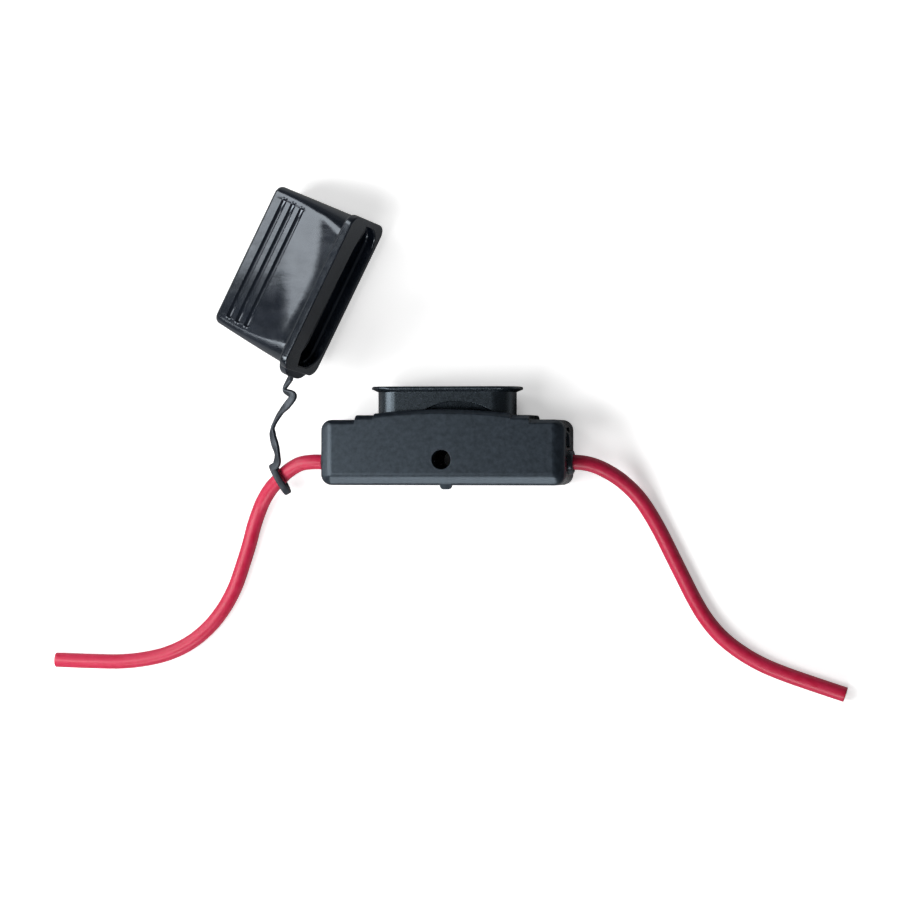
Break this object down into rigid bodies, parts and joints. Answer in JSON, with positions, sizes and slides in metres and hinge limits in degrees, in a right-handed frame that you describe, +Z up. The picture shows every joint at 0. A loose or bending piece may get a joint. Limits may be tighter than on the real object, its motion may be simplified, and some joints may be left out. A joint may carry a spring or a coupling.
{
  "type": "inline fuse holder",
  "caption": "Inline holder for a blade fuse: snap-together housing with a socket collar, red leads at both ends and a tethered push-on cap.",
  "frame": {"origin": "middle of the housing's outline on its flat back face, which the holder lies on", "axes": "+X along the housing towards the right lead, +Y towards the mouth of the fuse socket, +Z up, out of the front cover"},
  "size_m": [0.1519, 0.0962, 0.0162],
  "materials": {
    "housing_black": "moulded, fine matt grain",
    "cover_black": "moulded, fine matt grain",
    "cap_black": "moulded, satin gloss",
    "terminal_tin": "tin plated brass sheet",
    "conductor_copper": "bare stranded copper",
    "lead_red": "red insulation, satin"
  },
  "bodies": {
    "holder": {"housing": "housing_black", "front_cover": "cover_black", "left_terminal": "terminal_tin", "right_terminal": "terminal_tin", "left_conductor": "conductor_copper", "right_conductor": "conductor_copper", "left_lead": "lead_red", "right_lead": "lead_red"},
    "cap": {"cap": "cap_black"}
  },
  "joints": [
    {"name": "cap_swing", "type": "hinge", "parent": "holder", "child": "cap", "pos_m": [-0.0326, -0.0081, 0.0049], "axis": [0.7036, 0.6059, 0.3713], "range_deg": [0, 135]}
  ]
}
